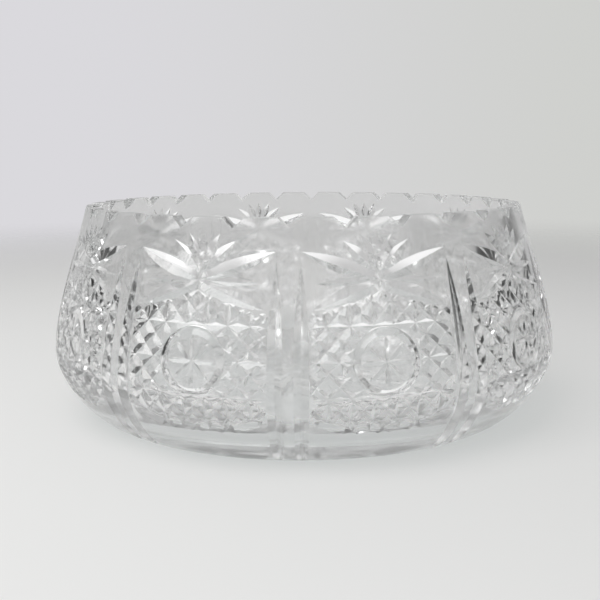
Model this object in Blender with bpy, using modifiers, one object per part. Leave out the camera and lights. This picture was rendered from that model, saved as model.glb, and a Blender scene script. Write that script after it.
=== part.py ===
"""A cut-crystal punch bowl: one heavy body of lead glass, turned, then cut on its outside.

The body is a turned profile. The cuts are taken out of it in the shapes that a glass cutter's
wheels leave: a square edge drawn across the rim makes the notches, a mitre edge makes the long
paired grooves and the leaves, and a rounded edge makes the round lenses. All of them repeat on
ten equal panels, with a pair of grooves between each panel and the next.
"""

import math

import bmesh
import bpy
from mathutils import Matrix, Vector
from mathutils.geometry import interpolate_bezier

# Overall size, in metres.
HEIGHT = 0.1016
RIM_RADIUS = 0.109
WIDEST_RADIUS = 0.1268
WIDEST_HEIGHT = 0.031
FOOT_RADIUS = 0.104

# How far each curve of the section keeps its direction before it bends: its handles' lengths.
RIM_HANDLE_OUT = 0.0067
RIM_HANDLE_DOWN = 0.0236
WIDEST_HANDLE_UP = 0.020
WIDEST_HANDLE_DOWN = 0.011
FOOT_HANDLE = 0.008
FLOOR_HANDLE = 0.014
COVE_HANDLE_DOWN = 0.013
INNER_HANDLE_UP = 0.018

# The wall, the floor and the underside.
RIM_WALL = 0.006
SHOULDER_WALL = 0.0082
SHOULDER_RISE = 0.003
FLOOR_HEIGHT = 0.010
FLOOR_RADIUS = 0.090
RIM_CHAMFER = 0.0006
FOOT_RING_WIDTH = 0.012
KICK_DEPTH = 0.0015
KICK_SLOPE = 0.003

# How finely the body is turned. The steps are a whole number for each panel and each notch.
TURN_STEPS = 60
WALL_POINTS = 6
HEEL_POINTS = 6

# The pattern.
PANELS = 10
NOTCHES_PER_PANEL = 3
NOTCH_DEPTH = 0.0047
NOTCH_BAR_HALF_DIAGONAL = 0.0075
NOTCH_BAR_LENGTH = 0.024
MITRE_FROM_DIVIDER = math.radians(2.4)
MITRE_TOP = HEIGHT - 0.016
MITRE_FOOT = 0.0025
MITRE_DEPTH = 0.0018
MITRE_HALF_ANGLE = math.radians(54)
MITRE_STATIONS = 10
MITRE_TOP_SWELL = 2.2
MITRE_FOOT_SWELL = 6
LENS_HEIGHT = 0.0455
LENS_RADIUS = 0.0130
LENS_DEPTH = 0.0019
LEAF_CROSSING_HEIGHT = HEIGHT - 0.0238
LEAF_TOP_HEIGHT = HEIGHT - 0.0135
LEAF_TOP_SPREAD = math.radians(15.2)
LEAF_LOW_HEIGHT = HEIGHT - 0.0345
LEAF_LOW_SPREAD = math.radians(13.6)
LEAF_DEPTH = 0.0016
LEAF_HALF_ANGLE = math.radians(62)
LEAF_STATIONS = 5
LEAF_GAP_AT_CROSSING = 0.06

# How far a cutter stands clear of the wall, and how far its ends rise out of it.
CUTTER_PROUD = 0.0015
CUTTER_LIFT = 0.0003

PANEL_ANGLE = 2 * math.pi / PANELS
FRONT = -math.pi / 2


def clear_scene():
    for existing in list(bpy.data.objects):
        bpy.data.objects.remove(existing, do_unlink=True)


def new_collection(name, is_rendered):
    collection = bpy.data.collections.new(name)
    collection.hide_render = not is_rendered
    bpy.context.scene.collection.children.link(collection)
    return collection


def curve_points(start, start_handle, end_handle, end, count):
    """Points along one cubic curve in the profile's plane, as (radius, height)."""
    flat = [Vector((*point, 0)) for point in (start, start_handle, end_handle, end)]
    return [(point.x, point.y) for point in interpolate_bezier(*flat, count)]


def outer_profile():
    """The outside from the rim down to the edge of the foot: a long flare, then the round heel."""
    widest = (WIDEST_RADIUS, WIDEST_HEIGHT)
    wall = curve_points(
        (RIM_RADIUS, HEIGHT),
        (RIM_RADIUS + RIM_HANDLE_OUT, HEIGHT - RIM_HANDLE_DOWN),
        (WIDEST_RADIUS, WIDEST_HEIGHT + WIDEST_HANDLE_UP),
        widest,
        WALL_POINTS,
    )
    heel = curve_points(
        widest,
        (WIDEST_RADIUS, WIDEST_HEIGHT - WIDEST_HANDLE_DOWN),
        (FOOT_RADIUS + FOOT_HANDLE, 0),
        (FOOT_RADIUS, 0),
        HEEL_POINTS,
    )
    return wall + heel[1:]


def inner_profile():
    """The inside from the middle of the floor out to the foot of the wall and up to the rim."""
    shoulder = (WIDEST_RADIUS - SHOULDER_WALL, WIDEST_HEIGHT + SHOULDER_RISE)
    rim_inside = RIM_RADIUS - RIM_WALL
    cove = curve_points(
        (FLOOR_RADIUS, FLOOR_HEIGHT),
        (FLOOR_RADIUS + FLOOR_HANDLE, FLOOR_HEIGHT),
        (shoulder[0], shoulder[1] - COVE_HANDLE_DOWN),
        shoulder,
        HEEL_POINTS,
    )
    wall = curve_points(
        shoulder,
        (shoulder[0], shoulder[1] + INNER_HANDLE_UP),
        (rim_inside + RIM_HANDLE_OUT, HEIGHT - RIM_HANDLE_DOWN),
        (rim_inside, HEIGHT),
        WALL_POINTS,
    )
    return [(0, FLOOR_HEIGHT)] + cove + wall[1:]


def body_profile():
    """The whole section: up the inside, over the chamfered rim, down the outside, under the foot."""
    inner = inner_profile()
    outer = outer_profile()
    rim = [
        (inner[-1][0], HEIGHT - RIM_CHAMFER),
        (inner[-1][0] + RIM_CHAMFER, HEIGHT),
        (outer[0][0] - RIM_CHAMFER, HEIGHT),
        (outer[0][0], HEIGHT - RIM_CHAMFER),
    ]
    ring_inside = FOOT_RADIUS - FOOT_RING_WIDTH
    underside = [
        (ring_inside, 0),
        (ring_inside - KICK_SLOPE, KICK_DEPTH),
        (0, KICK_DEPTH),
    ]
    return inner[:-1] + rim + outer[1:] + underside


def mesh_object(name, bm, collection):
    mesh = bpy.data.meshes.new(name)
    bm.to_mesh(mesh)
    bm.free()
    made = bpy.data.objects.new(name, mesh)
    collection.objects.link(made)
    return made


def turned_body(collection):
    """The uncut body, turned about its own axis from the section."""
    bm = bmesh.new()
    verts = [bm.verts.new((radius, 0, height)) for radius, height in body_profile()]
    for first, second in zip(verts, verts[1:]):
        bm.edges.new((first, second))
    body = mesh_object("bowl", bm, collection)
    turn = body.modifiers.new("turn", "SCREW")
    turn.steps = TURN_STEPS
    turn.render_steps = TURN_STEPS
    turn.use_merge_vertices = True
    turn.merge_threshold = 0.00001
    return body


def outside_at(height):
    """The outside's radius at a height, and how its outward normal leans: (radius, out, up)."""
    points = outer_profile()
    for (r0, z0), (r1, z1) in zip(points, points[1:]):
        if z1 <= height <= z0:
            share = (z0 - height) / (z0 - z1)
            run = Vector((r1 - r0, z1 - z0)).normalized()
            return r0 + (r1 - r0) * share, -run.y, run.x
    raise ValueError(f"no wall at height {height}")


def on_outside(angle, height, proud):
    """A point standing that far proud of the outside, at an angle about the axis and a height."""
    radius, out, up = outside_at(height)
    radius += out * proud
    return Vector((radius * math.cos(angle), radius * math.sin(angle), height + up * proud))


def add_groove(bm, path, depths, half_angle):
    """A V-shaped cutter along a path of (angle, height) points, its keel at the given depths."""
    loops = []
    for index, ((angle, height), depth) in enumerate(zip(path, depths)):
        before = path[max(index - 1, 0)]
        after = path[min(index + 1, len(path) - 1)]
        along = on_outside(*after, 0) - on_outside(*before, 0)
        keel = on_outside(angle, height, -depth)
        deck = on_outside(angle, height, CUTTER_PROUD)
        side = along.cross(deck - keel).normalized()
        side *= (depth + CUTTER_PROUD) * math.tan(half_angle)
        loops.append([bm.verts.new(point) for point in (keel, deck + side, deck - side)])
    rings = []
    for loop in loops:
        ring = [bm.edges.new((loop[i], loop[(i + 1) % 3])) for i in range(3)]
        rings.append(ring)
    for ring, following in zip(rings, rings[1:]):
        bmesh.ops.bridge_loops(bm, edges=ring + following)
    bm.faces.new(loops[0])
    bm.faces.new(loops[-1])


def keel_depths(count, deepest):
    """Keel depths that start and end just clear of the wall and bow down to the deepest between."""
    shares = [2 * index / (count - 1) - 1 for index in range(count)]
    return [(deepest + CUTTER_LIFT) * (1 - share**2) - CUTTER_LIFT for share in shares]


def finished_cutter(name, bm, collection):
    bmesh.ops.recalc_face_normals(bm, faces=bm.faces)
    cutter = mesh_object(name, bm, collection)
    cutter.hide_render = True
    cutter.display_type = "WIRE"
    return cutter


def rim_notches(collection):
    """Square bars laid on their corners across the rim: the lower corner cuts the right-angled V."""
    bm = bmesh.new()
    corner = NOTCH_BAR_HALF_DIAGONAL
    count = PANELS * NOTCHES_PER_PANEL
    for index in range(count):
        angle = FRONT + index * 2 * math.pi / count
        made = bmesh.ops.create_cone(
            bm, cap_ends=True, segments=4, radius1=corner, radius2=corner, depth=NOTCH_BAR_LENGTH
        )
        lie_down = Matrix.Rotation(math.pi / 2, 4, "Y")
        centre = Vector((RIM_RADIUS - RIM_WALL / 2, 0, HEIGHT - NOTCH_DEPTH + corner))
        place = Matrix.Rotation(angle, 4, "Z") @ Matrix.Translation(centre) @ lie_down
        bmesh.ops.transform(bm, matrix=place, verts=made["verts"])
    return finished_cutter("cut_rim_notches", bm, collection)


def divider_mitres(collection):
    """The paired grooves that part the panels. They start at a point and run round the heel."""
    bm = bmesh.new()
    for panel in range(PANELS):
        for side in (-1, 1):
            angle = FRONT + panel * PANEL_ANGLE + side * MITRE_FROM_DIVIDER
            path = []
            depths = []
            for index in range(MITRE_STATIONS):
                share = index / (MITRE_STATIONS - 1)
                height = MITRE_TOP + (MITRE_FOOT - MITRE_TOP) * share
                path.append((angle, height))
                swell = min(1, MITRE_TOP_SWELL * share, MITRE_FOOT_SWELL * (1 - share))
                depths.append((MITRE_DEPTH + CUTTER_LIFT) * swell - CUTTER_LIFT)
            add_groove(bm, path, depths, MITRE_HALF_ANGLE)
    return finished_cutter("cut_divider_mitres", bm, collection)


def leaves(name, side, collection):
    """The two leaves of each panel that point away from the crossing, one up and one down."""
    bm = bmesh.new()
    depths = keel_depths(LEAF_STATIONS, LEAF_DEPTH)
    for panel in range(PANELS):
        middle = FRONT + (panel + 0.5) * PANEL_ANGLE
        crossing = Vector((middle, LEAF_CROSSING_HEIGHT))
        tips = (
            Vector((middle + side * LEAF_TOP_SPREAD, LEAF_TOP_HEIGHT)),
            Vector((middle - side * LEAF_LOW_SPREAD, LEAF_LOW_HEIGHT)),
        )
        for tip in tips:
            base = crossing.lerp(tip, LEAF_GAP_AT_CROSSING)
            steps = range(LEAF_STATIONS)
            path = [tuple(base.lerp(tip, step / (LEAF_STATIONS - 1))) for step in steps]
            add_groove(bm, path, depths, LEAF_HALF_ANGLE)
    return finished_cutter(name, bm, collection)


def lens_hollows(collection):
    """The round lens at the widest part of each panel, left by a wheel with a rounded edge."""
    bm = bmesh.new()
    ball_radius = (LENS_RADIUS**2 + LENS_DEPTH**2) / (2 * LENS_DEPTH)
    _, out, up = outside_at(LENS_HEIGHT)
    lean = Vector((out, 0, up)).to_track_quat("Z", "Y").to_matrix().to_4x4()
    for panel in range(PANELS):
        made = bmesh.ops.create_uvsphere(
            bm, u_segments=20, v_segments=28, radius=ball_radius
        )
        turn = Matrix.Rotation(FRONT + (panel + 0.5) * PANEL_ANGLE, 4, "Z")
        centre = Matrix.Translation(on_outside(0, LENS_HEIGHT, ball_radius - LENS_DEPTH))
        bmesh.ops.transform(bm, matrix=turn @ centre @ lean, verts=made["verts"])
    return finished_cutter("cut_lens_hollows", bm, collection)


def cut(body, cutter):
    boolean = body.modifiers.new(cutter.name, "BOOLEAN")
    boolean.operation = "DIFFERENCE"
    boolean.object = cutter


def lead_crystal():
    material = bpy.data.materials.new("lead_crystal")
    material.use_nodes = True
    shader = material.node_tree.nodes["Principled BSDF"]
    shader.inputs["Base Color"].default_value = (0.93, 0.95, 0.95, 1)
    shader.inputs["Roughness"].default_value = 0.02
    shader.inputs["Metallic"].default_value = 0
    shader.inputs["IOR"].default_value = 1.545
    shader.inputs["Transmission Weight"].default_value = 1
    return material


def main():
    clear_scene()
    parts = new_collection("cut_crystal_punch_bowl", True)
    cutters = new_collection("cutters", False)
    body = turned_body(parts)
    cut(body, rim_notches(cutters))
    cut(body, divider_mitres(cutters))
    cut(body, lens_hollows(cutters))
    cut(body, leaves("cut_leaves_rising_right", 1, cutters))
    cut(body, leaves("cut_leaves_rising_left", -1, cutters))
    body.data.materials.append(lead_crystal())
    body.data.shade_smooth()
    body.data.set_sharp_from_angle(angle=math.radians(20))


main()
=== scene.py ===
# %% [markdown]
# # A cut crystal punch bowl
#
# The real bowl is one heavy piece of lead crystal. It was blown or pressed thick into a mould,
# cooled slowly, and then cut: a cutter held the outside against turning wheels of stone and diamond
# until the pattern stood sharp, and acid or felt polished the cuts until they were as clear as the
# rest.
#
# This lesson builds it the same way round. The pattern repeats ten times, so one tenth of the wall
# is made as a flat slab, cut while it is flat, wrapped round the bowl and copied. A flat slab is
# easy to measure and to cut. Wrapping it afterwards costs one short function.

import math

import bmesh
import bpy
from mathutils import Euler, Matrix, Vector
from mathutils.geometry import interpolate_bezier


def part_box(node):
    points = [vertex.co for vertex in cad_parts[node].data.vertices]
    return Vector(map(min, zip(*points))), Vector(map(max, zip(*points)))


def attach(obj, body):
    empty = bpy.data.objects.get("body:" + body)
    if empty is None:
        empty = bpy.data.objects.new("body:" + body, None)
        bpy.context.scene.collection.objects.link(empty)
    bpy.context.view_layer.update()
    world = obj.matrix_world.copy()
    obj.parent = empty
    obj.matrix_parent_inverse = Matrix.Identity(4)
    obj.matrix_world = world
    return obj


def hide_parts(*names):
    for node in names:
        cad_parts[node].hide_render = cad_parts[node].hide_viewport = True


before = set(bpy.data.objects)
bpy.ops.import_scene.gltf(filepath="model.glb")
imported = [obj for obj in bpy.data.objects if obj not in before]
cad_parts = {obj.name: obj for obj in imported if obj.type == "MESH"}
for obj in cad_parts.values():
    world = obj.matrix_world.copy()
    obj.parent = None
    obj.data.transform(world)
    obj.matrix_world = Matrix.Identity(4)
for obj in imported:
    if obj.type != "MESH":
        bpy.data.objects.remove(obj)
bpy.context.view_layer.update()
low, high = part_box("bowl")
print("nodes:", sorted(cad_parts), "box from", tuple(low), "to", tuple(high))

# %% [markdown]
# ## Sizes
#
# The overall height comes from the frame, so that the fine surface always fits the plain one. The
# rest are the sizes of the section: how wide the rim, the belly and the foot are, and how thick the
# rim, the shoulder and the floor are. Everything is in metres, as the frame is, and one constant
# turns millimetres into metres where they read better.

# %% Driving dimensions
MM = 0.001
PANELS = 10
PANEL_ANGLE = 2 * math.pi / PANELS
FRONT = -math.pi / 2

HEIGHT = high.z - low.z
WIDEST_RADIUS = 126.8 * MM
WIDEST_HEIGHT = 31 * MM
RIM_RADIUS = 109 * MM
RIM_WALL = 6 * MM
FOOT_RADIUS = 104 * MM
FLOOR_RADIUS = 90 * MM
FLOOR_HEIGHT = 10 * MM
SHOULDER_WALL = 8.2 * MM
SHOULDER_RISE = 3 * MM
SHOULDER_HEIGHT = WIDEST_HEIGHT + SHOULDER_RISE
print(f"bowl {2 * WIDEST_RADIUS / MM:.1f} mm wide and {HEIGHT / MM:.1f} mm high")

# %% [markdown]
# ## The section
#
# A turned shape is known by its section. Four cubic curves are enough here: the flared wall and the
# round heel outside, and the wall and the cove inside. `interpolate_bezier` is the same curve that
# the editor draws, so the handles below could be dragged about by hand. A handle says how far a
# curve keeps its direction before it bends. Each curve is then read by its length, because a cutter
# measures along the glass and not straight down.

# %% The four curves of the section
FINE = 200
RIM_HANDLE_OUT = 6.7 * MM
RIM_HANDLE_DOWN = 23.6 * MM
WIDEST_HANDLE_UP = 20 * MM
WIDEST_HANDLE_DOWN = 11 * MM
FOOT_HANDLE = 8 * MM
SHOULDER_HANDLE_UP = 18 * MM
SHOULDER_HANDLE_DOWN = 13 * MM
FLOOR_HANDLE = 14 * MM


def curve(*points):
    """Points along a cubic curve, each as (radius, height), and how far along it each one is."""
    spots = interpolate_bezier(*[Vector((r, z, 0)) for r, z in points], FINE)
    run = [0.0]
    for before, after in zip(spots, spots[1:]):
        run.append(run[-1] + (after - before).length)
    return spots, run


def read_curve(spots_and_run, share):
    """The point a given share of the way along a curve."""
    spots, run = spots_and_run
    target = min(max(share, 0), 1) * run[-1]
    index = 0
    while index < FINE - 2 and run[index + 1] < target:
        index += 1
    part = (target - run[index]) / (run[index + 1] - run[index])
    return spots[index].lerp(spots[index + 1], part)


widest = (WIDEST_RADIUS, WIDEST_HEIGHT)
shoulder = (WIDEST_RADIUS - SHOULDER_WALL, SHOULDER_HEIGHT)
rim_inside = RIM_RADIUS - RIM_WALL

outer_wall = curve(
    (RIM_RADIUS, HEIGHT),
    (RIM_RADIUS + RIM_HANDLE_OUT, HEIGHT - RIM_HANDLE_DOWN),
    (WIDEST_RADIUS, WIDEST_HEIGHT + WIDEST_HANDLE_UP),
    widest,
)
outer_heel = curve(
    widest,
    (WIDEST_RADIUS, WIDEST_HEIGHT - WIDEST_HANDLE_DOWN),
    (FOOT_RADIUS + FOOT_HANDLE, 0),
    (FOOT_RADIUS, 0),
)
inner_wall = curve(
    (rim_inside, HEIGHT),
    (rim_inside + RIM_HANDLE_OUT, HEIGHT - RIM_HANDLE_DOWN),
    (shoulder[0], SHOULDER_HEIGHT + SHOULDER_HANDLE_UP),
    shoulder,
)
inner_cove = curve(
    shoulder,
    (shoulder[0], SHOULDER_HEIGHT - SHOULDER_HANDLE_DOWN),
    (FLOOR_RADIUS + FLOOR_HANDLE, FLOOR_HEIGHT),
    (FLOOR_RADIUS, FLOOR_HEIGHT),
)
WALL_RUN = outer_wall[1][-1]
HEEL_RUN = outer_heel[1][-1]
FULL_RUN = WALL_RUN + HEEL_RUN
print(f"{WALL_RUN / MM:.1f} mm down the wall, {HEEL_RUN / MM:.1f} mm more round the heel")

# %% [markdown]
# ## From flat to round
#
# In the flat, x runs round the bowl, y runs down the outside from the rim (so it is negative), and
# z is how far a point stands out of the glass. The panel is as wide as a tenth of the bowl at the
# height of the round lenses, because there the pattern has circles, and a circle shows the least
# stretch.
#
# `wrap` finds the point on the outside for a distance down, and the matching point on the inside.
# Near the outside a millimetre stays a millimetre, so each cut keeps its depth; beyond the cuts the
# rest of the thickness is shared out, so the slab's back face lands exactly on the inner curve.

# %% Wrapping a flat point round the bowl
WRAP_RADIUS = 125.4 * MM
SLAB = 8 * MM
TRUE_DEPTH = 3 * MM
PANEL_WIDTH = PANEL_ANGLE * WRAP_RADIUS


def section_at(down):
    """The outer and the inner point of the section, a distance down the outside from the rim."""
    if down <= WALL_RUN:
        share = down / WALL_RUN
        return read_curve(outer_wall, share), read_curve(inner_wall, share)
    share = (down - WALL_RUN) / HEEL_RUN
    return read_curve(outer_heel, share), read_curve(inner_cove, share)


def wrap(point, middle):
    """A flat point, wrapped round the bowl with the panel's middle at that angle."""
    outer, inner = section_at(-point.y)
    through = inner - outer
    depth = -point.z
    if depth > TRUE_DEPTH:
        left = (depth - TRUE_DEPTH) / (SLAB - TRUE_DEPTH)
        depth = TRUE_DEPTH + left * (through.length - TRUE_DEPTH)
    spot = outer + through.normalized() * depth
    angle = middle + point.x / WRAP_RADIUS
    return Vector((spot.x * math.cos(angle), spot.x * math.sin(angle), spot.y))


def flat(degrees, down_mm):
    """A flat point from an angle off the panel's middle and a distance down from the rim."""
    return Vector((math.radians(degrees) * WRAP_RADIUS, -down_mm * MM, 0))


# %% [markdown]
# ## The blank
#
# The blank is a grid given thickness. Its columns are not even: one runs through the bottom of each
# notch and one through each of its shoulders, so that the notched rim is drawn by pulling down a
# few points of the top edge. On the real rim a wheel with a square edge was drawn straight across
# the wall, which leaves the same right-angled V. The rows are close together round the heel, where
# the glass turns fastest, and the first one lies below the notches.

# %% Making the notched blank
NOTCHES_PER_PANEL = 3
NOTCH_DEPTH = 4.7 * MM
NOTCH_HALF_WIDTH = NOTCH_DEPTH / RIM_RADIUS * WRAP_RADIUS
WALL_ROWS = 13
HEEL_ROWS = 12
FIRST_ROW = 7.6 * MM


def blank_columns():
    """Where the blank's columns stand, from its left edge to its right edge."""
    pitch = PANEL_WIDTH / NOTCHES_PER_PANEL
    steps = (0, NOTCH_HALF_WIDTH, pitch / 2, pitch - NOTCH_HALF_WIDTH)
    left = -PANEL_WIDTH / 2
    places = [left + notch * pitch + step for notch in range(NOTCHES_PER_PANEL) for step in steps]
    return places + [-left]


def blank_rows():
    """How far down the outside each row runs."""
    wall = [FIRST_ROW + (WALL_RUN - FIRST_ROW) * row / (WALL_ROWS - 1) for row in range(WALL_ROWS)]
    heel = [WALL_RUN + HEEL_RUN * (row + 1) / HEEL_ROWS for row in range(HEEL_ROWS)]
    return [0.0] + wall + heel


NOTCH_STEPS = ("keel", "shoulder", "middle", "shoulder")


def make_blank():
    """The slab that the pattern is cut from, with the rim's notches in it, as a bmesh."""
    columns = blank_columns()
    rows = blank_rows()
    steps = len(NOTCH_STEPS)
    bm = bmesh.new()
    made = bmesh.ops.create_grid(bm, x_segments=len(columns) - 1, y_segments=len(rows) - 1, size=1)
    for vert in made["verts"]:
        column = round((vert.co.x + 1) / 2 * (len(columns) - 1))
        row = round((1 - vert.co.y) / 2 * (len(rows) - 1))
        in_notch = row == 0 and column % steps == 0
        vert.co = Vector((columns[column], -NOTCH_DEPTH if in_notch else -rows[row], 0))
    thick = bmesh.ops.extrude_face_region(bm, geom=bm.faces[:])
    moved = [item for item in thick["geom"] if isinstance(item, bmesh.types.BMVert)]
    bmesh.ops.translate(bm, vec=(0, 0, -SLAB), verts=moved)
    bmesh.ops.recalc_face_normals(bm, faces=bm.faces)
    return bm


blank = make_blank()
print(f"blank: {len(blank.faces)} faces")


# %% [markdown]
# ## A wheel's cut
#
# A mitre wheel has a V edge. Lowered on the glass it bites a boat-shaped groove: pointed where it
# went in, deepest in the middle, pointed where it came out. Held down and drawn along, it leaves a
# straight groove with such a point at each end.
#
# So each cutter here is a triangle pulled along a line. It starts as a circle of three points with
# a face in it. Each step extrudes that face and puts its three points where the wheel would be: one
# at the bottom of the V, and two a little above the glass. The ends stand clear of the glass, so
# the Boolean never has to deal with faces that only touch.

# %% Pulling a V along a line
PROUD = 1.2 * MM
LIFT = 0.12 * MM
FEWEST_STEPS = 6


def bite(along, length, run_in, run_out):
    """How deep the wheel is, from 0 to 1, at a distance along its cut."""
    nearest = min(along / run_in, (length - along) / run_out, 1)
    return 1 - (1 - max(nearest, 0)) ** 2


def place_triangle(verts, spot, side, depth, half_angle, lean):
    """Puts the wheel's edge over a spot. A lean moves the bottom of its V aside."""
    keel = min(verts, key=lambda vert: vert.co.z)
    decks = sorted((vert for vert in verts if vert is not keel), key=lambda vert: vert.co.dot(side))
    reach = (depth + PROUD) * math.tan(half_angle)
    keel.co = spot + side * lean * reach + Vector((0, 0, -depth))
    decks[0].co = spot - side * reach + Vector((0, 0, PROUD))
    decks[1].co = spot + side * reach + Vector((0, 0, PROUD))


def v_cut(bm, start, end, depth, half_angle, run_in, run_out, step=4 * MM, lean=0):
    """Adds one V cut. The runs are how far the wheel takes to reach its depth, and to leave it."""
    line = end - start
    length = line.length
    side = Vector((-line.y, line.x, 0)).normalized()
    count = max(FEWEST_STEPS, math.ceil(length / step))
    ring = bmesh.ops.create_circle(bm, cap_ends=True, segments=3, radius=MM)["verts"]
    ring[0].co, ring[1].co, ring[2].co = (0, 0, -MM), -side, side
    face = ring[0].link_faces[0]
    for index in range(count + 1):
        share = index / count
        if index:
            made = bmesh.ops.extrude_face_region(bm, geom=[face])["geom"]
            if index > 1:
                bm.faces.remove(face)
            ring = [item for item in made if isinstance(item, bmesh.types.BMVert)]
            face = next(item for item in made if isinstance(item, bmesh.types.BMFace))
        spot = start + line * share
        down = (depth + LIFT) * bite(share * length, length, run_in, run_out) - LIFT
        place_triangle(ring, spot, side, down, half_angle, lean)


cuts = bmesh.new()

# %% [markdown]
# ## The paired mitres
#
# Two long grooves part each panel from the next. Each starts at a point beside the leaves, widens
# on its way down and runs round the heel almost to the foot. The edge of a panel lies halfway
# between a pair, so each panel has one groove on its left and one on its right.

# %% Cutting the mitres
MITRE_DEGREES = 15.6
MITRE_TOP = 16.5
MITRE_FOOT = 111.0
MITRE_DEPTH = 2.2 * MM
MITRE_HALF_ANGLE = math.radians(54)
MITRE_RUN_IN = 38 * MM
MITRE_RUN_OUT = 9 * MM

for way in (-1, 1):
    top = flat(way * MITRE_DEGREES, MITRE_TOP)
    foot = flat(way * MITRE_DEGREES, MITRE_FOOT)
    v_cut(cuts, top, foot, MITRE_DEPTH, MITRE_HALF_ANGLE, MITRE_RUN_IN, MITRE_RUN_OUT)
print(f"mitres: {len(cuts.faces)} cutter faces")

# %% [markdown]
# ## Leaves and fan
#
# Six leaves spread from one crossing: two up, two down, and two thin ones level. A fan of narrow
# cuts stands above them. Each is one touch of a wide, blunt V that starts at the crossing, so it is
# widest near there and pointed at its tip. The wheel leans a little for the leaves. That leaves one
# broad facet, which shines whole, and a narrow one beside it.
#
# Each row below is one pair of leaves: how many degrees out and millimetres down its tip is, how
# many millimetres deep it goes, and half the angle of the wheel's edge in degrees.

# %% Cutting the leaves and the fan
LEAF_LEAN = 0.3
LEAF_RUN_IN = 4 * MM
LEAF_TAPER = 0.6
LEAF_STEP = 2.5 * MM
CROSSING_DOWN = 24.6
crossing = flat(0, CROSSING_DOWN)
leaves = (
    (15.6, 13.0, 2.4, 53.5),
    (14.0, 36.4, 1.5, 67),
    (13.2, 25.8, 0.9, 62),
)
for degrees, down, depth, half_angle in leaves:
    for way in (-1, 1):
        tip = flat(way * degrees, down)
        reach = (tip - crossing).length
        v_cut(cuts, crossing, tip, depth * MM, math.radians(half_angle), LEAF_RUN_IN,
              LEAF_TAPER * reach, step=LEAF_STEP, lean=-way * LEAF_LEAN)

FAN_DEPTH = 2.0 * MM
FAN_HALF_ANGLE = math.radians(58)
FAN_WIDEST = 0.35
fan_root = flat(0, 22.8)
fan_tips = ((0, 5.8), (3.6, 6.4), (7.2, 9.2))
for degrees, down in fan_tips:
    for way in (-1, 1) if degrees else (1,):
        tip = flat(way * degrees, down)
        reach = (tip - fan_root).length
        v_cut(cuts, fan_root, tip, FAN_DEPTH, FAN_HALF_ANGLE, FAN_WIDEST * reach,
              (1 - FAN_WIDEST) * reach, step=LEAF_STEP)
print(f"leaves and fan: {len(cuts.faces)} cutter faces so far")

# %% [markdown]
# ## The lace
#
# Below the leaves the glass is covered with fine mitres in four directions. They cross in
# eight-rayed stars and leave small three-cornered facets between, which is what makes cut glass
# glitter. A zigzag border of deeper cuts ends them below.
#
# The lines are ruled right across the panel and then kept only where they are wanted: under the
# leaves, between the paired mitres, above the border and off the round eye. `kept_runs` walks along
# a line and returns the stretches where all of those hold. The border is given by its corners, in
# millimetres across and down.

# %% Ruling and trimming the lace
EYE = flat(0, 58.2)
EYE_RADIUS = 14.0 * MM
EYE_MARGIN = 0.1 * MM
LACE_PITCH = 9.5 * MM
LACE_DEPTH = 1.3 * MM
LACE_HALF_ANGLE = math.radians(55)
LACE_RUN = 1.6 * MM
LACE_STEP = 6 * MM
LACE_SIDE = 30.9 * MM
LEAF_GAP = 4.2 * MM
LEAF_SLOPE = 0.345
SLOPING_LINES = 9
UPRIGHT_LINES = 3
BORDER_DEPTH = 1.7 * MM
BORDER_HALF_ANGLE = math.radians(56)
BORDER_GAP = 0.3 * MM
BORDER = (
    (-29.5, 81.2),
    (-13.5, 87.0),
    (-6.2, 84.2),
    (0, 87.6),
    (6.2, 84.2),
    (13.5, 87.0),
    (29.5, 81.2),
)
RULE_REACH = 70 * MM
RULE_STEP = 0.25 * MM
SHORTEST_CUT = 3 * MM


def border_at(x):
    """How far down the lower border runs, at a distance across."""
    for (x0, d0), (x1, d1) in zip(BORDER, BORDER[1:]):
        if x0 * MM <= x <= x1 * MM:
            return (d0 + (d1 - d0) * (x / MM - x0) / (x1 - x0)) * MM
    return BORDER[0][1] * MM


def in_lace(spot):
    """Whether a flat point is one that the lace covers."""
    under_leaf = CROSSING_DOWN * MM + LEAF_GAP + abs(spot.x) * LEAF_SLOPE
    return (
        abs(spot.x) < LACE_SIDE
        and under_leaf < -spot.y < border_at(spot.x) - BORDER_GAP
        and (spot - EYE).length > EYE_RADIUS + EYE_MARGIN
    )


def kept_runs(origin, direction):
    """The stretches of a line that lie in the lace, each as its two ends."""
    count = int(2 * RULE_REACH / RULE_STEP)
    spots = [origin + direction * (index * RULE_STEP - RULE_REACH) for index in range(count + 1)]
    runs = []
    begun = None
    for before, spot in zip(spots, spots[1:]):
        if begun is None and in_lace(spot):
            begun = spot
        elif begun is not None and not in_lace(spot):
            runs.append((begun, before))
            begun = None
    return [(begin, end) for begin, end in runs if (end - begin).length > SHORTEST_CUT]


def lace_line(x, down, slope):
    """A ruled line through a point given off the eye's middle: that point, and a direction."""
    return EYE + Vector((x, -down, 0)), Vector(slope).normalized()


half = LACE_PITCH / 2
lace_lines = []
for index in range(-SLOPING_LINES, SLOPING_LINES + 1):
    lace_lines.append(lace_line(index * LACE_PITCH, 0, (1, 1, 0)))
    lace_lines.append(lace_line(index * LACE_PITCH, 0, (1, -1, 0)))
rail = 3 * half
for down in (-rail, 0, rail):
    lace_lines.append(lace_line(0, down, (1, 0, 0)))
lace_runs = [run for origin, direction in lace_lines for run in kept_runs(origin, direction)]
for index in range(-UPRIGHT_LINES, UPRIGHT_LINES):
    for begin, end in kept_runs(*lace_line(half + index * LACE_PITCH, 0, (0, 1, 0))):
        top = Vector((begin.x, EYE.y + rail, 0))
        foot = Vector((begin.x, EYE.y - rail, 0))
        if end.y > top.y + SHORTEST_CUT:
            lace_runs.append((top, end))
        if begin.y < foot.y - SHORTEST_CUT:
            lace_runs.append((begin, foot))
for begin, end in lace_runs:
    v_cut(cuts, begin, end, LACE_DEPTH, LACE_HALF_ANGLE, LACE_RUN, LACE_RUN, step=LACE_STEP)
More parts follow.
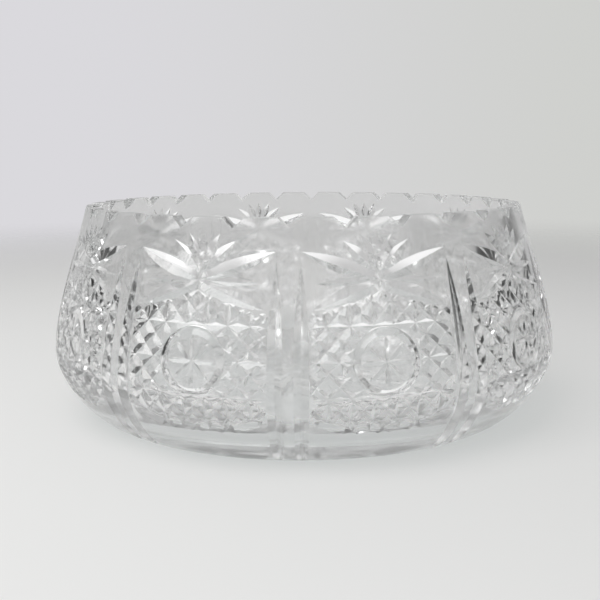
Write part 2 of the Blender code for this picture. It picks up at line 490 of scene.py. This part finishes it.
for (x0, d0), (x1, d1) in zip(BORDER, BORDER[1:]):
    begin = Vector((x0 * MM, -d0 * MM, 0))
    end = Vector((x1 * MM, -d1 * MM, 0))
    v_cut(cuts, begin, end, BORDER_DEPTH, BORDER_HALF_ANGLE, LACE_RUN, LACE_RUN)
print(f"lace: {len(lace_runs)} cuts")

# %% [markdown]
# ## The eye
#
# In the middle of the lace stands a round button, and in its flat top a star of eight thin rays.
# The button is what is left when a groove is ground in a ring: steep on the outside, and a long
# slope on the inside that catches light all round. The groove's section is a triangle, spun about
# the button's own axis.

# %% Cutting the eye
EYE_TOP = 10.8 * MM
EYE_DEPTH = 2.2 * MM
EYE_STEEP = 0.8 * MM
EYE_STEPS = 64
RAYS = 8
RAY_LENGTH = 10.8 * MM
RAY_DEPTH = 0.7 * MM
RAY_HALF_ANGLE = math.radians(57)
RAY_RUN = 2 * MM
RAY_STEP = 2.4 * MM


def eye_cutter(bm):
    """The ring groove's section, spun about the middle of the eye."""
    keel = EYE_RADIUS - EYE_STEEP
    rise = (EYE_DEPTH + PROUD) / EYE_DEPTH
    spots = [
        EYE + Vector((keel - (keel - EYE_TOP) * rise, 0, PROUD)),
        EYE + Vector((keel, 0, -EYE_DEPTH)),
        EYE + Vector((keel + EYE_STEEP * rise, 0, PROUD)),
    ]
    verts = [bm.verts.new(spot) for spot in spots]
    edges = [bm.edges.new(pair) for pair in zip(verts, verts[1:] + verts[:1])]
    bmesh.ops.spin(bm, geom=verts + edges, cent=EYE, axis=(0, 0, 1), angle=2 * math.pi,
                   steps=EYE_STEPS, use_merge=True, use_duplicate=False)


eye_cutter(cuts)
for index in range(RAYS // 2):
    ray = Vector((RAY_LENGTH, 0, 0))
    ray.rotate(Euler((0, 0, index * 2 * math.pi / RAYS)))
    v_cut(cuts, EYE - ray, EYE + ray, RAY_DEPTH, RAY_HALF_ANGLE, RAY_RUN, RAY_RUN, step=RAY_STEP)
print(f"eye: {2 * EYE_RADIUS / MM:.1f} mm across, its flat top {2 * EYE_TOP / MM:.1f} mm")

# %% [markdown]
# ## Carving
#
# One Boolean takes all the cutters out of the blank. `use_self` lets the cutters run through each
# other. The result is read from the evaluated object, cut into triangles while every facet is still
# flat, and then wrapped. Faces on the edges of the slab would end up inside the glass, so they go.

# %% Carving the panel
def new_piece(name, bm):
    """Turns a bmesh into an object in the scene."""
    mesh = bpy.data.meshes.new(name)
    bm.to_mesh(mesh)
    bm.free()
    piece = bpy.data.objects.new(name, mesh)
    bpy.context.scene.collection.objects.link(piece)
    return piece


def carved(blank, cuts):
    """The blank with the cutters taken out of it, as a bmesh. Both are used up."""
    bmesh.ops.recalc_face_normals(cuts, faces=cuts.faces)
    slab = new_piece("slab", blank)
    cutter = new_piece("cutter", cuts)
    boolean = slab.modifiers.new("carve", "BOOLEAN")
    boolean.object = cutter
    boolean.use_self = True
    bpy.context.view_layer.update()
    result = bmesh.new()
    result.from_object(slab, bpy.context.evaluated_depsgraph_get())
    bpy.data.objects.remove(slab)
    bpy.data.objects.remove(cutter)
    return result


def count_open(bm):
    """How many edges don't have exactly two faces."""
    return sum(not edge.is_manifold for edge in bm.edges)


NEAR = 1e-6

panel = carved(blank, cuts)
print(f"carved panel: {len(panel.faces)} faces, {count_open(panel)} open edges")
bmesh.ops.triangulate(panel, faces=panel.faces)
edge = PANEL_WIDTH / 2
inner_faces = [
    face
    for face in panel.faces
    if all(abs(abs(vert.co.x) - edge) < NEAR for vert in face.verts)
    or all(abs(vert.co.y + FULL_RUN) < NEAR for vert in face.verts)
]
bmesh.ops.delete(panel, geom=inner_faces, context="FACES")
print(f"panel: {len(panel.faces)} triangles")

# %% [markdown]
# ## Round the bowl
#
# The carved panel is copied ten times into one mesh, and each copy is wrapped at its own angle. The
# edges of neighbouring panels meet exactly, so merging doubles closes them.

# %% Wrapping ten panels
flat_panel = bpy.data.meshes.new("flat_panel")
panel.to_mesh(flat_panel)
panel.free()
bowl = bmesh.new()
for index in range(PANELS):
    before = len(bowl.verts)
    bowl.from_mesh(flat_panel)
    bowl.verts.ensure_lookup_table()
    for vert in bowl.verts[before:]:
        vert.co = wrap(vert.co, FRONT + (index + 0.5) * PANEL_ANGLE)
bpy.data.meshes.remove(flat_panel)
print(f"wall: {len(bowl.faces)} triangles")

# %% [markdown]
# ## Floor and foot
#
# The wall is still open at the bottom. A round puck fills it: its upper face is the floor of the
# bowl, and its lower face has a narrow ring to stand on and a star cut in the middle, as heavy
# crystal has so that its foot glitters too. The puck has a point at the angle of each of the wall's
# columns, so the two merge.

# %% Making the base
FOOT_RING_WIDTH = 12 * MM
KICK_SLOPE = 3 * MM
KICK_DEPTH = 1.5 * MM
STAR_RAYS = 20
STAR_RADIUS = 82 * MM
STAR_DEPTH = 2.6 * MM
STAR_HALF_ANGLE = math.radians(60)
STAR_STEP = 12 * MM


def ring_of(bm, edges, radius, height):
    """Extrudes a ring of edges to a radius and a height, and returns the new ring's edges."""
    made = bmesh.ops.extrude_edge_only(bm, edges=edges)["geom"]
    verts = {item for item in made if isinstance(item, bmesh.types.BMVert)}
    for vert in verts:
        vert.co = vert.co.xy.normalized().to_3d() * radius + Vector((0, 0, height))
    edges = [item for item in made if isinstance(item, bmesh.types.BMEdge)]
    return [edge for edge in edges if verts.issuperset(edge.verts)]


def make_puck():
    """The floor above and the foot below, joined by a cone that is taken off again later."""
    columns = blank_columns()[:-1]
    middles = [FRONT + (index + 0.5) * PANEL_ANGLE for index in range(PANELS)]
    angles = [middle + x / WRAP_RADIUS for middle in middles for x in columns]
    bm = bmesh.new()
    circle = bmesh.ops.create_circle(bm, segments=len(angles), radius=FOOT_RADIUS)["verts"]
    for vert, angle in zip(circle, angles):
        vert.co = (FOOT_RADIUS * math.cos(angle), FOOT_RADIUS * math.sin(angle), 0)
    outer = bm.edges[:]
    floor = ring_of(bm, outer, FLOOR_RADIUS, FLOOR_HEIGHT)
    bmesh.ops.edgeloop_fill(bm, edges=floor)
    ring = ring_of(bm, outer, FOOT_RADIUS - FOOT_RING_WIDTH, 0)
    kick = ring_of(bm, ring, FOOT_RADIUS - FOOT_RING_WIDTH - KICK_SLOPE, KICK_DEPTH)
    bmesh.ops.edgeloop_fill(bm, edges=kick)
    bmesh.ops.recalc_face_normals(bm, faces=bm.faces)
    return bm


def make_star():
    """The rays of the star, as cutters that point down and then stand under the kick."""
    bm = bmesh.new()
    for index in range(STAR_RAYS // 2):
        ray = Vector((STAR_RADIUS, 0, 0))
        ray.rotate(Euler((0, 0, (index + 0.5) * 2 * math.pi / STAR_RAYS)))
        v_cut(bm, -ray, ray, STAR_DEPTH, STAR_HALF_ANGLE, STAR_RADIUS, STAR_RADIUS, step=STAR_STEP)
    turn_over = Matrix.Translation((0, 0, KICK_DEPTH)) @ Matrix.Rotation(math.pi, 4, "X")
    bmesh.ops.transform(bm, matrix=turn_over, verts=bm.verts)
    return bm


def radii(face):
    """How far a face's corners are from the bowl's axis, in millimetres."""
    return {round(vert.co.xy.length / MM, 2) for vert in face.verts}


base = carved(make_puck(), make_star())
bmesh.ops.triangulate(base, faces=base.faces)
cone = [face for face in base.faces if radii(face) == {FOOT_RADIUS / MM, FLOOR_RADIUS / MM}]
bmesh.ops.delete(base, geom=cone, context="FACES")
print(f"base: {len(base.faces)} triangles")
base_mesh = bpy.data.meshes.new("base")
base.to_mesh(base_mesh)
base.free()
bowl.from_mesh(base_mesh)
bpy.data.meshes.remove(base_mesh)

# %% [markdown]
# ## One closed piece
#
# Doubles are merged, the normals are made to point out of the glass, and the mesh is checked: every
# edge has to have two faces, or light would leak through a crack as it is traced through the glass.
# Edges are marked sharp by angle, so that facets stay crisp while the wall's own curve stays
# smooth.

# %% Closing the bowl
MERGE_DISTANCE = 3e-7
SHARP_ANGLE = math.radians(11)
MILLILITRES = 1e6

bmesh.ops.remove_doubles(bowl, verts=bowl.verts, dist=MERGE_DISTANCE)
bmesh.ops.recalc_face_normals(bowl, faces=bowl.faces)
print(f"bowl: {len(bowl.faces)} triangles, {count_open(bowl)} open edges")
print(f"glass: {bowl.calc_volume() * MILLILITRES:.0f} ml")
punch_bowl = new_piece("punch_bowl", bowl)
punch_bowl.data.shade_smooth()
punch_bowl.data.set_sharp_from_angle(angle=SHARP_ANGLE)
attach(punch_bowl, "root")
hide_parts("bowl")

# %% [markdown]
# ## Lead crystal
#
# Lead crystal bends light more than window glass does, with an IOR near 1.55, and is almost without
# colour. Cut facets come off the wheel grey, and an acid bath eats them smooth. That leaves them a
# touch softer than fire-polished glass: a facet shines whole, while whatever stands behind two
# walls of it blurs. It also leaves slow waves, which nobody sees as bumps but which bend every line
# seen through.
#
# A Glass BSDF does this with a low roughness and a faint bump. A Principled BSDF with full
# Transmission would do too, but has many sockets that stay unused here.
#
# The melt is never quite clear, and it takes a little light for every millimetre. A wall hardly
# shows it. The thick foot does: seen edge on it is a shade darker. Volume Absorption gives just
# that.
#
# Cycles can't send light from a lamp through bent glass to the table without noise. Two Mix Shaders
# with Light Path let such rays pass straight, a little dimmed, so the bowl leaves a pale shadow.

# %% Helpers for nodes
def linear(hex_colour):
    """An sRGB hex colour as the linear values that Blender's nodes take."""
    parts = [int(hex_colour[start:start + 2], 16) / 255 for start in (1, 3, 5)]
    return tuple(p / 12.92 if p <= 0.04045 else ((p + 0.055) / 1.055) ** 2.4 for p in parts) + (1,)


def add_node(tree, kind, settings=None, inputs=None):
    """Adds one node. An input is a value, or an output of another node to link from."""
    node = tree.nodes.new(kind)
    for name, value in (settings or {}).items():
        setattr(node, name, value)
    for name, value in (inputs or {}).items():
        if isinstance(value, bpy.types.NodeSocket):
            tree.links.new(value, node.inputs[name])
        else:
            node.inputs[name].default_value = value
    return node


def new_tree(owner):
    """The empty node tree of a material or a world."""
    owner.use_nodes = True
    owner.node_tree.nodes.clear()
    return owner.node_tree


# %% Polished lead crystal
CRYSTAL = linear("#fefefe")
CRYSTAL_IOR = 1.545
ACID_POLISH = 0.08
SHADOW_TINT = linear("#f6f7f7")
MELT = linear("#b8bab9")
MELT_DENSITY = 2.2
WAVE_LENGTH = 16 * MM
WAVE_HEIGHT = 0.05 * MM
WAVE_DETAIL = 2.0

crystal = bpy.data.materials.new("acid_polished_lead_crystal")
nodes = new_tree(crystal)
place = add_node(nodes, "ShaderNodeTexCoord")
waves = add_node(nodes, "ShaderNodeTexNoise", {}, {
    "Vector": place.outputs["Object"], "Scale": 1 / WAVE_LENGTH, "Detail": WAVE_DETAIL})
bump = add_node(nodes, "ShaderNodeBump", {}, {
    "Strength": 1.0, "Distance": WAVE_HEIGHT, "Height": waves.outputs["Fac"]})
glass = add_node(nodes, "ShaderNodeBsdfGlass", {}, {
    "Color": CRYSTAL, "Roughness": ACID_POLISH, "IOR": CRYSTAL_IOR,
    "Normal": bump.outputs["Normal"]})
clear = add_node(nodes, "ShaderNodeBsdfTransparent", {}, {"Color": SHADOW_TINT})
path = add_node(nodes, "ShaderNodeLightPath")
from_table = add_node(nodes, "ShaderNodeMixShader", {}, {
    0: path.outputs["Is Diffuse Ray"], 1: glass.outputs[0], 2: clear.outputs[0]})
from_lamp = add_node(nodes, "ShaderNodeMixShader", {}, {
    0: path.outputs["Is Shadow Ray"], 1: from_table.outputs[0], 2: clear.outputs[0]})
melt = add_node(nodes, "ShaderNodeVolumeAbsorption", {}, {"Color": MELT, "Density": MELT_DENSITY})
add_node(nodes, "ShaderNodeOutputMaterial", {}, {
    "Surface": from_lamp.outputs[0], "Volume": melt.outputs[0]})
punch_bowl.data.materials.append(crystal)
print(f"crystal: IOR {CRYSTAL_IOR}, waves every {WAVE_LENGTH / MM:.0f} mm")

# %% [markdown]
# ## The table
#
# The bowl stands on matt white paper that sweeps up behind it with no edge. A disc of paper that
# fades out with distance does the same: its shader turns transparent far from the bowl, so that the
# floor melts into the backdrop. It is transparent from below as well, so that the star under the
# foot can be looked at.
#
# The paper lies a hair under the foot ring. Two faces in the same place would flicker.

# %% Making the table
PAPER = linear("#ececeb")
PAPER_RADIUS = 2.0
FADE_FROM = 0.4
FADE_TO = 1.3
PAPER_GAP = 0.2 * MM
PAPER_SIDES = 96

table = bmesh.new()
bmesh.ops.create_circle(table, cap_ends=True, segments=PAPER_SIDES, radius=PAPER_RADIUS)
bmesh.ops.translate(table, vec=(0, 0, -PAPER_GAP), verts=table.verts)
floor = new_piece("floor", table)
paper = bpy.data.materials.new("matt_paper")
nodes = new_tree(paper)
place = add_node(nodes, "ShaderNodeTexCoord")
away = add_node(nodes, "ShaderNodeVectorMath", {"operation": "LENGTH"}, {
    0: place.outputs["Object"]})
fade = add_node(nodes, "ShaderNodeMapRange", {"interpolation_type": "SMOOTHSTEP"}, {
    "Value": away.outputs["Value"], "From Min": FADE_FROM, "From Max": FADE_TO})
face = add_node(nodes, "ShaderNodeNewGeometry")
gone = add_node(nodes, "ShaderNodeMath", {"operation": "MAXIMUM"}, {
    0: fade.outputs["Result"], 1: face.outputs["Backfacing"]})
sheet = add_node(nodes, "ShaderNodeBsdfDiffuse", {}, {"Color": PAPER})
nothing = add_node(nodes, "ShaderNodeBsdfTransparent")
either = add_node(nodes, "ShaderNodeMixShader", {}, {
    0: gone.outputs[0], 1: sheet.outputs[0], 2: nothing.outputs[0]})
add_node(nodes, "ShaderNodeOutputMaterial", {}, {"Surface": either.outputs[0]})
floor.data.materials.append(paper)
print(f"table: paper fades from {FADE_FROM} to {FADE_TO} m")

# %% [markdown]
# ## The studio
#
# Glass has no look of its own: it shows the room. So the room is drawn in the world's nodes, where
# a direction is enough and no ray has to find a lamp. Nearly all of it is one even pale grey, which
# keeps the crystal soft. What gives the cuts their edges are cards, as they are set up in a studio
# for glass: a bright one high behind the bowl, and a black one at each side.
#
# The world gives a direction as three numbers. Two arcs turn them into degrees round and degrees
# up, and a card is then a box in those degrees with a soft edge. Round is 0 straight behind the
# bowl and grows to the right. Each row of the cards gives the middle round and up, half the width
# and the height, and the softness of the edge, all in degrees, and then the brightness.
#
# The backdrop itself is a plain sweep with its light painted in. It is brighter and cooler at the
# left and darker and warmer at the right, a painted falloff of light across one sheet of paper.
# Only the camera sees it. The glass sees the walls and the cards.

# %% Reading a direction
world = bpy.data.worlds.new("studio")
bpy.context.scene.world = world
nodes = new_tree(world)
place = add_node(nodes, "ShaderNodeTexCoord")
direction = add_node(nodes, "ShaderNodeSeparateXYZ", {}, {0: place.outputs["Generated"]})
across, behind, up = direction.outputs


def calculate(operation, *values):
    """One step of arithmetic on the direction."""
    step = add_node(nodes, "ShaderNodeMath", {"operation": operation}, dict(enumerate(values)))
    return step.outputs[0]


def sweep(value, start, end, first, last):
    """Goes smoothly from first to last while the value goes from start to end."""
    return add_node(nodes, "ShaderNodeMapRange", {"interpolation_type": "SMOOTHSTEP"}, {
        "Value": value, "From Min": start, "From Max": end,
        "To Min": first, "To Max": last}).outputs[0]


def between(share, first, last):
    """A value that share parts from the first towards the last."""
    return add_node(nodes, "ShaderNodeMix", {"data_type": "FLOAT"}, {
        0: share, 2: first, 3: last}).outputs[0]


round_about = calculate("ARCTAN2", across, behind)
height_up = calculate("ARCSINE", up)

# %% Walls, ceiling and cards
WALL_IN_FRONT = 0.63
WALL_BEHIND = 0.545
CEILING = 0.22
UNDER_TABLE = 0.62
WALLS_MEET = (-0.9, 0.6)
CEILING_FROM = (0.6, 0.75)
TABLE_EDGE = (-0.05, -0.02)
CARDS = (
    (-16, 27, 30, 15.5, 1.2, 1.0),
    (80, 10, 40, 26, 3, 0.02),
    (-90, 12, 30, 26, 3, 0.03),
)


def within(value, middle, half, edge):
    """1 inside a band of degrees and 0 outside it."""
    off = calculate("ABSOLUTE", calculate("SUBTRACT", value, math.radians(middle)))
    return sweep(off, math.radians(half - edge), math.radians(half + edge), 1.0, 0.0)


grey = sweep(behind, *WALLS_MEET, WALL_IN_FRONT, WALL_BEHIND)
grey = between(sweep(up, *CEILING_FROM, 0.0, 1.0), grey, CEILING)
grey = between(sweep(up, *TABLE_EDGE, 1.0, 0.0), grey, UNDER_TABLE)
for middle, height, half_width, half_height, edge, brightness in CARDS:
    card = calculate("MULTIPLY", within(round_about, middle, half_width, edge),
                     within(height_up, height, half_height, edge))
    grey = between(card, grey, brightness)
print(f"studio: {len(CARDS)} cards")

# %% The backdrop
# Painted light on the backdrop: the left colour is its brighter, lit side, and the right colour is
# its darker, shaded side.
LIT_COOL_SIDE = linear("#dad9dd")
SHADED_WARM_SIDE = linear("#cfd0cd")
BACKDROP_HALF = 0.35

backdrop = add_node(nodes, "ShaderNodeMix", {"data_type": "RGBA"}, {
    0: sweep(across, -BACKDROP_HALF, BACKDROP_HALF, 0.0, 1.0), 6: LIT_COOL_SIDE, 7: SHADED_WARM_SIDE})
path = add_node(nodes, "ShaderNodeLightPath")
seen = add_node(nodes, "ShaderNodeMix", {"data_type": "RGBA"}, {
    0: path.outputs["Is Camera Ray"], 6: grey, 7: backdrop.outputs[2]})
background = add_node(nodes, "ShaderNodeBackground", {}, {
    "Color": seen.outputs[2], "Strength": 1.0})
add_node(nodes, "ShaderNodeOutputWorld", {}, {"Surface": background.outputs[0]})
print("backdrop: from the cool side to the warm side")

# %% [markdown]
# ## The lamp and the paths of light
#
# One large soft lamp hangs over the table, a little to the left and in front. It lights the paper,
# and puts a few small highlights on the rim.
#
# Light crosses many facets on its way through cut glass. A path that runs out of bounces goes
# black, so the paths may be long. The Standard view keeps the pale greys as they are given.

# %% Hanging the lamp
LAMP_PLACE = Vector((-0.45, -0.5, 1.2))
LAMP_SIZE = 1.0
LAMP_WATTS = 13.5
BOUNCES = 32

lamp_data = bpy.data.lights.new("overhead", "AREA")
lamp_data.size = LAMP_SIZE
lamp_data.energy = LAMP_WATTS
lamp = bpy.data.objects.new("overhead", lamp_data)
lamp.location = LAMP_PLACE
lamp.rotation_euler = (-LAMP_PLACE).to_track_quat("-Z", "Y").to_euler()
bpy.context.scene.collection.objects.link(lamp)

cycles = bpy.context.scene.cycles
cycles.max_bounces = BOUNCES
cycles.transmission_bounces = BOUNCES
cycles.glossy_bounces = BOUNCES
bpy.context.scene.view_settings.view_transform = "Standard"
print(f"lamp: {LAMP_WATTS} W, {LAMP_PLACE.length:.2f} m from the bowl")

# %% [markdown]
# ## The camera
#
# It stands less than half a metre away, a little above the rim, and looks slightly down, so that
# the far rim shows over the near one. Turns are given one by one: round the bowl, across to aim,
# down, and a trace of roll.

# %% Placing the camera
CAMERA_DISTANCE = 451.4 * MM
CAMERA_HEIGHT = 127.4 * MM
CAMERA_SWING = math.radians(2.9)
CAMERA_AIM = math.radians(0.24)
CAMERA_DOWN = math.radians(9.72)
CAMERA_ROLL = math.radians(-0.38)
LENS_MM = 52.11

camera_data = bpy.data.cameras.new("camera")
camera_data.lens = LENS_MM
camera = bpy.data.objects.new("camera", camera_data)
bpy.context.scene.collection.objects.link(camera)
camera.location = (
    CAMERA_DISTANCE * math.sin(CAMERA_SWING),
    -CAMERA_DISTANCE * math.cos(CAMERA_SWING),
    CAMERA_HEIGHT,
)
turn = Matrix.Rotation(CAMERA_SWING + CAMERA_AIM, 3, "Z")
tilt = Matrix.Rotation(math.pi / 2 - CAMERA_DOWN, 3, "X")
camera.rotation_euler = (turn @ tilt @ Matrix.Rotation(CAMERA_ROLL, 3, "Z")).to_euler()
bpy.context.scene.camera = camera
print(f"camera: {LENS_MM} mm lens, {CAMERA_DISTANCE / MM:.0f} mm away")
